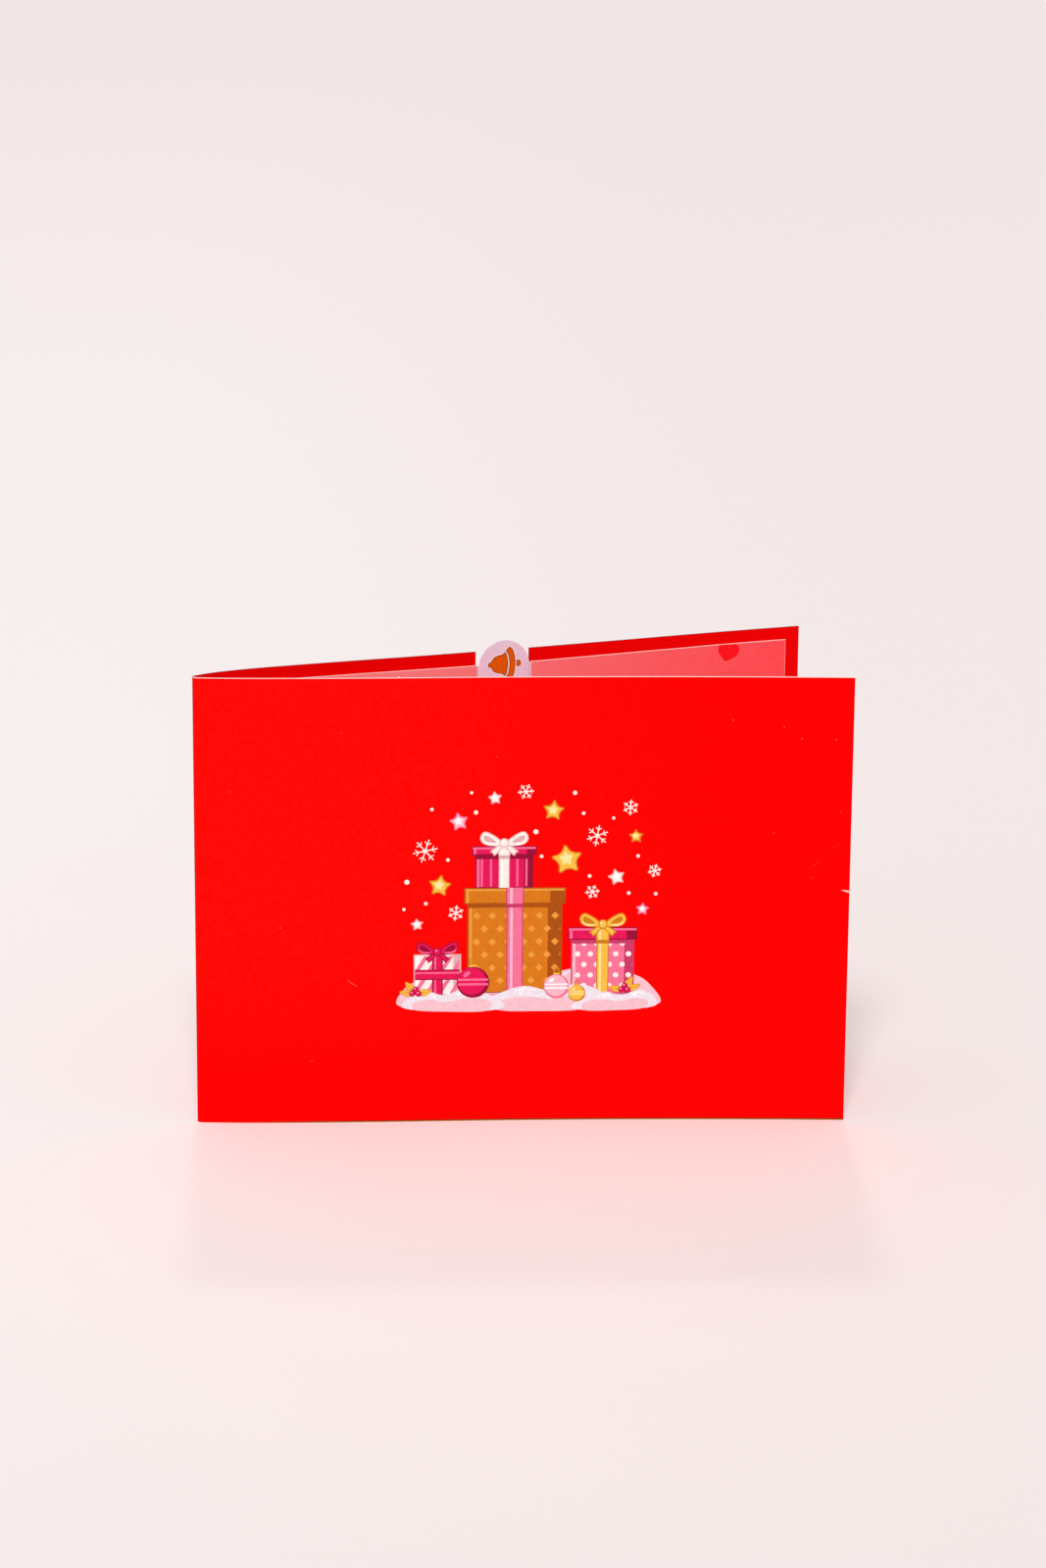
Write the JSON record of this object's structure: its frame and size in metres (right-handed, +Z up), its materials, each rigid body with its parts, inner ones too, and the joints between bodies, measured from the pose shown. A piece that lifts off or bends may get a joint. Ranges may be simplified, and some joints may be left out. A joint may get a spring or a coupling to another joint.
{
  "type": "greeting card",
  "caption": "Landscape folded card standing half open, with a glued lining and a pull-out note card whose round tab stands in a thumb notch.",
  "frame": {"origin": "middle of the card's footprint, on the surface that it stands on", "axes": "+X from the fold to the free edge along the front panel, +Y from the front panel to the back panel, +Z up"},
  "size_m": [0.1792, 0.0598, 0.1298],
  "materials": {
    "cover_card": "red print, satin",
    "lining_paper": "pink print, matt",
    "note_paper": "lilac print, matt"
  },
  "bodies": {
    "root": {"cover": "cover_card", "lining": "lining_paper", "note_card": "note_paper"}
  },
  "joints": []
}
